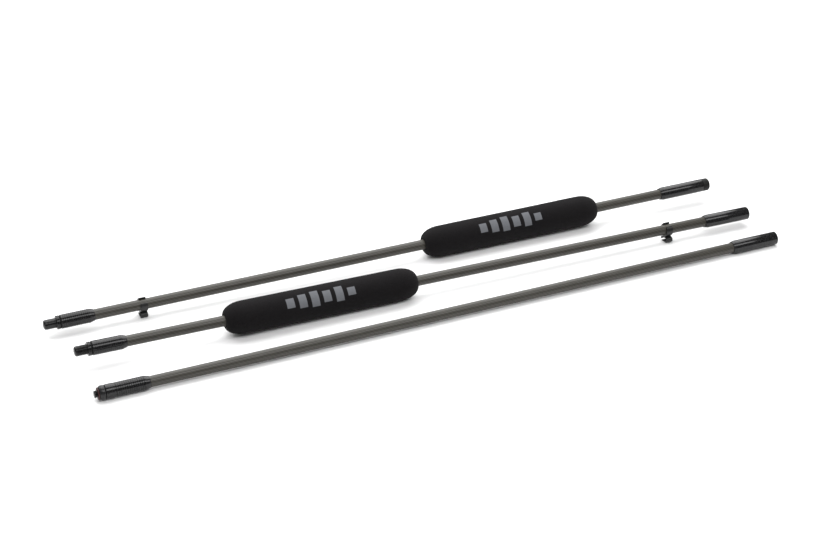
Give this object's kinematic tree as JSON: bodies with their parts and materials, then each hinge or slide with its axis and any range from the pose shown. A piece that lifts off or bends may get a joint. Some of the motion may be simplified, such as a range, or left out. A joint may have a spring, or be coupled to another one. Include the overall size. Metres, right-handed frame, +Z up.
{
  "type": "boom pole",
  "caption": "Carbon-fibre boom pole taken apart into screwed sections lying side by side, with foam grips, cable clips and a threaded microphone stud.",
  "frame": {"origin": "on the floor, under the centre of the whole object's box", "axes": "+X along the tip section from its threaded stud to its socket, +Y from the tip section across to the butt section, +Z up"},
  "size_m": [1.0148, 0.202, 0.0462],
  "materials": {
    "carbon_fibre": "satin",
    "black_anodised": "satin",
    "black_thread": "satin",
    "black_rubber": "matte",
    "red_rubber": "matte",
    "black_foam": "matte",
    "black_plastic": "matte"
  },
  "bodies": {
    "middle_section": {"middle_tube": "carbon_fibre", "middle_spigot": "black_thread", "middle_joint_washer": "black_rubber", "middle_ferrule": "black_anodised", "middle_socket_sleeve": "black_anodised"},
    "middle_lock_ring": {"middle_lock_ring": "black_anodised"},
    "middle_foam_grip": {"middle_foam_grip": "black_foam"},
    "middle_cable_clip": {"middle_cable_clip": "black_plastic"},
    "tip_section": {"tip_tube": "carbon_fibre", "tip_ferrule": "black_anodised", "tip_stud": "black_thread", "tip_socket_sleeve": "black_anodised"},
    "tip_lock_nut": {"tip_lock_nut": "black_anodised", "tip_seal_ring": "red_rubber"},
    "butt_section": {"butt_tube": "carbon_fibre", "butt_spigot": "black_thread", "butt_joint_washer": "black_rubber", "butt_ferrule": "black_anodised", "butt_sleeve": "black_anodised", "butt_end_cap": "black_rubber"},
    "butt_lock_ring": {"butt_lock_ring": "black_anodised"},
    "butt_foam_grip": {"butt_foam_grip": "black_foam"},
    "butt_cable_clip": {"butt_cable_clip": "black_plastic"}
  },
  "joints": [
    {"name": "tip_section_lift", "type": "slide", "parent": "middle_section", "child": "tip_section", "axis": [0, 0, 1], "range_m": [0, 0.25]},
    {"name": "butt_section_lift", "type": "slide", "parent": "middle_section", "child": "butt_section", "axis": [0, 0, 1], "range_m": [0, 0.25]},
    {"name": "tip_lock_nut_turn", "type": "hinge", "parent": "tip_section", "child": "tip_lock_nut", "pos_m": [-0.48279, -0.09142, 0.0096], "axis": [1, 0, -0.0002], "range_deg": [-180, 180]},
    {"name": "middle_lock_ring_turn", "type": "hinge", "parent": "middle_section", "child": "middle_lock_ring", "pos_m": [-0.47373, -0.00931, 0.02604], "axis": [0.9999, -0.0105, -0.0092], "range_deg": [-180, 180]},
    {"name": "butt_lock_ring_turn", "type": "hinge", "parent": "butt_section", "child": "butt_lock_ring", "pos_m": [-0.48792, 0.08808, 0.01733], "axis": [0.9998, -0.0167, 0.0087], "range_deg": [-180, 180]},
    {"name": "middle_foam_slide", "type": "slide", "parent": "middle_section", "child": "middle_foam_grip", "axis": [0.9999, -0.0105, -0.0092], "range_m": [-0.11, 0.37]},
    {"name": "butt_foam_slide", "type": "slide", "parent": "butt_section", "child": "butt_foam_grip", "axis": [0.9998, -0.0167, 0.0087], "range_m": [-0.38, 0.1]},
    {"name": "middle_clip_swivel", "type": "hinge", "parent": "middle_section", "child": "middle_cable_clip", "pos_m": [0.37278, -0.01824, 0.01822], "axis": [0.9999, -0.0105, -0.0092], "range_deg": [-90, 90]},
    {"name": "butt_clip_swivel", "type": "hinge", "parent": "butt_section", "child": "butt_cable_clip", "pos_m": [-0.37334, 0.08616, 0.01833], "axis": [0.9998, -0.0167, 0.0087], "range_deg": [-90, 90]}
  ]
}
